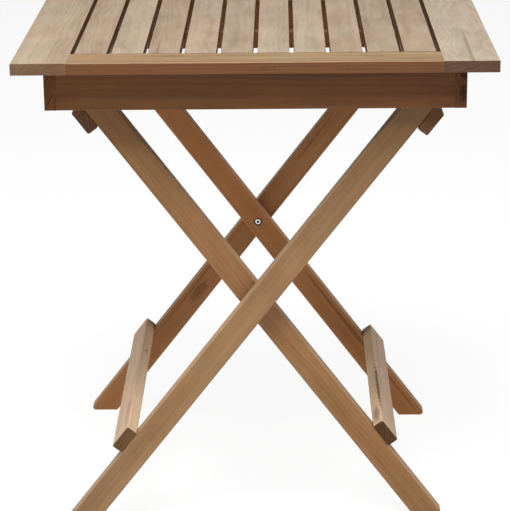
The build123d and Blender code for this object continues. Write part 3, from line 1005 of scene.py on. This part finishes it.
# %% [markdown]
# ## Countersunk wood screws, by Geometry Nodes
#
# Screws come up through the aprons and the batten into the top. From below you see their flat
# heads with a cross cut into them. The tree makes one screw and instances it on a point for each
# place; the places are read from the model's own screws.

# %% The screw tree
THREADED_FIT = 0.98  # a hair thinner than the hole, so that no two faces coincide
CROSS_REACH, CROSS_WIDTH = 1.25, 0.24  # shares of the head's radius
SCREW_TURN = 0.7  # each screw stops at another angle, in radians

screw_tree, tree, given = new_tree("wood_screws", {
    "Head Radius": ("NodeSocketFloat", 0.004),
    "Head Height": ("NodeSocketFloat", 0.0024),
    "Shank Radius": ("NodeSocketFloat", 0.002),
    "Length": ("NodeSocketFloat", 0.03),
    "Material": ("NodeSocketMaterial", None)})
head_height = given["Head Height"]
head = tree.add("GeometryNodeMeshCone", None, {
    "Vertices": 32, "Radius Bottom": given["Head Radius"],
    "Radius Top": given["Shank Radius"] * THREADED_FIT, "Depth": head_height})
straight = given["Length"] * 0.72
shank = cylinder(
    tree, 12, given["Shank Radius"] * THREADED_FIT, straight, (straight + head_height) * 0.5)
tip_start = straight + head_height * 0.4
tip = tree.add("GeometryNodeMeshCone", None, {
    "Vertices": 12, "Radius Bottom": given["Shank Radius"] * 0.9,
    "Radius Top": given["Shank Radius"] * 0.1, "Depth": given["Length"] - tip_start})
tip = tree.add("GeometryNodeTransform", None, {
    "Geometry": tip, "Translation": tree.vector(0.0, 0.0, tip_start)})
screw = union(tree, head, shank, tip)
arm = given["Head Radius"] * CROSS_REACH
wide = given["Head Radius"] * CROSS_WIDTH
for size in (tree.vector(arm, wide, head_height), tree.vector(wide, arm, head_height)):
    bar = tree.add("GeometryNodeMeshCube", None, {"Size": size})
    screw = tree.add("GeometryNodeMeshBoolean", {"operation": "DIFFERENCE"}, {
        "Mesh 1": screw, "Mesh 2": bar})
screws = tree.add("GeometryNodeInstanceOnPoints", None, {
    "Points": given["Places"], "Instance": screw,
    "Rotation": tree.vector(0.0, 0.0, tree.add("GeometryNodeInputIndex") * SCREW_TURN)})
screws = tree.add("GeometryNodeRealizeInstances", None, {"Geometry": screws})
finish_metal(tree, screws, given["Material"])
print("screw tree has", len(screw_tree.nodes), "nodes")

# %% [markdown]
# ## Screws in their places
#
# One node of the model holds all the screws of an apron or of the batten. Its points fall into
# clumps, one for each screw, because the screws stand at least 20 mm apart. The middle and the
# lowest point of each clump say where a screw's head goes.

# %% Put the screws in
SCREW_REACH = 0.012
SCREW_HEAD_RADIUS = 0.004
SCREW_HEAD_HEIGHT = 0.0024
SCREW_SHANK_RADIUS = 0.002


def screw_groups(node_name):
    """The points of a node's screws, one array for each screw."""
    groups = []
    for point in points_of(node_name):
        near = next(
            (group for group in groups if max(abs(point[:2] - group[0][:2])) < SCREW_REACH), None)
        if near is None:
            groups.append([point])
        else:
            near.append(point)
    return [np.array(group) for group in groups]


def foot_of(group):
    """The middle of a screw's head, at its lowest face."""
    low, high = group.min(0), group.max(0)
    return (low[0] + high[0]) / 2, (low[1] + high[1]) / 2, low[2]


def add_screws(node_name, body):
    """Countersunk screws where a CAD node has its own."""
    groups = screw_groups(node_name)
    places = [foot_of(group) for group in groups]
    screws = grow(node_name + "_detailed", screw_tree, {
        "Head Radius": SCREW_HEAD_RADIUS,
        "Head Height": SCREW_HEAD_HEIGHT,
        "Shank Radius": SCREW_SHANK_RADIUS,
        "Length": float(groups[0][:, 2].max() - groups[0][:, 2].min()),
        "Material": steel}, places)
    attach(screws, body)
    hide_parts(node_name)
    print(node_name, len(places), "screws,", len(screws.data.polygons), "faces")


add_screws("apron_screws", "tabletop")
add_screws("batten_screws", "tabletop")

# %% [markdown]
# ## The floor
#
# The floor is one big plane, well past the edges of any view. It glows a little and reflects
# little, so it reads as a pale studio floor at every distance while a soft shadow still falls
# on it. It is part of the stage, and not of the table.

# %% Floor
FLOOR_HALF_SIZE = 30.0
FLOOR_COLOUR = 0.13
FLOOR_GLOW = 0.89

floor_mesh = bpy.data.meshes.new("floor")
bm = bmesh.new()
bmesh.ops.create_grid(bm, x_segments=1, y_segments=1, size=FLOOR_HALF_SIZE)
bm.to_mesh(floor_mesh)
bm.free()
floor = bpy.data.objects.new("floor", floor_mesh)
bpy.context.scene.collection.objects.link(floor)
floor_material, graph, shader = new_material("pale_floor")
shader.inputs["Base Color"].default_value = (FLOOR_COLOUR, FLOOR_COLOUR, FLOOR_COLOUR, 1.0)
shader.inputs["Roughness"].default_value = 0.9
shader.inputs["Specular IOR Level"].default_value = 0.0
shader.inputs["Emission Color"].default_value = (1.0, 1.0, 1.0, 1.0)
shader.inputs["Emission Strength"].default_value = FLOOR_GLOW
floor_mesh.materials.append(floor_material)
print("floor", 2 * FLOOR_HALF_SIZE, "m square")

# %% [markdown]
# ## Soft light
#
# A large disk above and in front lights the top and lets the apron and the legs fall off into
# shade. One disk on each side opens the ends of the bars, and a weak one near the floor lifts the
# feet, as a pale floor does. The world adds an even fill and looks nearly white behind the table.

# %% Lights and world
WORLD_FILL = 0.14
WORLD_SEEN = 0.9


def soft_light(name, place, target, size, power):
    """A disk of light, in metres and watts, turned to a target and hidden from the camera."""
    lamp = bpy.data.lights.new(name, "AREA")
    lamp.shape = "DISK"
    lamp.size = size
    lamp.energy = power
    holder = bpy.data.objects.new(name, lamp)
    holder.location = place
    holder.visible_camera = False
    holder.rotation_euler = (Vector(target) - Vector(place)).to_track_quat("-Z", "Y").to_euler()
    bpy.context.scene.collection.objects.link(holder)
    print(name, power, "W from", place)


soft_light("overhead", (-0.2, -1.15, 3.0), (0.0, 0.0, 0.5), 1.9, 118.0)
soft_light("low_front", (0.0, -1.05, 0.04), (0.0, -0.2, 0.02), 0.8, 2.2)
for side in (-1, 1):
    soft_light(f"side_{side}", (2.7 * side, 0.1, 1.5), (0.0, 0.0, 0.35), 1.4, 26.0)

world = bpy.data.worlds.new("studio")
world.use_nodes = True
bpy.context.scene.world = world
graph = Graph(world.node_tree)
background = world.node_tree.nodes["Background"]
seen = graph.add("ShaderNodeLightPath", output="Is Camera Ray")
plug(graph, WORLD_FILL + seen * WORLD_SEEN, background.inputs["Strength"])
background.inputs["Color"].default_value = (1.0, 1.0, 1.0, 1.0)
bpy.context.scene.view_settings.view_transform = "Standard"

# %% [markdown]
# ## The camera
#
# The camera stands in front of the table, above its top, and looks down with a long lens. Its
# three directions are worked out from how far it is turned, tilted and rolled, so each of those
# can be changed alone.

# %% Camera
turn = radians(-0.81)
tilt = radians(18.21)
roll = radians(-0.59)
stand = Vector((0.0375, -3.1103, 1.3851))
lens = 141.9
sensor = 36.0

camera_data = bpy.data.cameras.new("camera")
camera_data.lens = lens
camera_data.sensor_width = sensor
camera = bpy.data.objects.new("camera", camera_data)
look = Vector((sin(turn) * cos(tilt), cos(turn) * cos(tilt), -sin(tilt)))
level = Vector((cos(turn), -sin(turn), 0.0))
upward = level.cross(look)
right = cos(roll) * level + sin(roll) * upward
up = cos(roll) * upward - sin(roll) * level
facing = Matrix((right, up, -look)).transposed().to_4x4()
camera.matrix_world = Matrix.Translation(stand) @ facing
bpy.context.scene.collection.objects.link(camera)
bpy.context.scene.camera = camera
print("camera at", stand, "with a", lens, "mm lens")
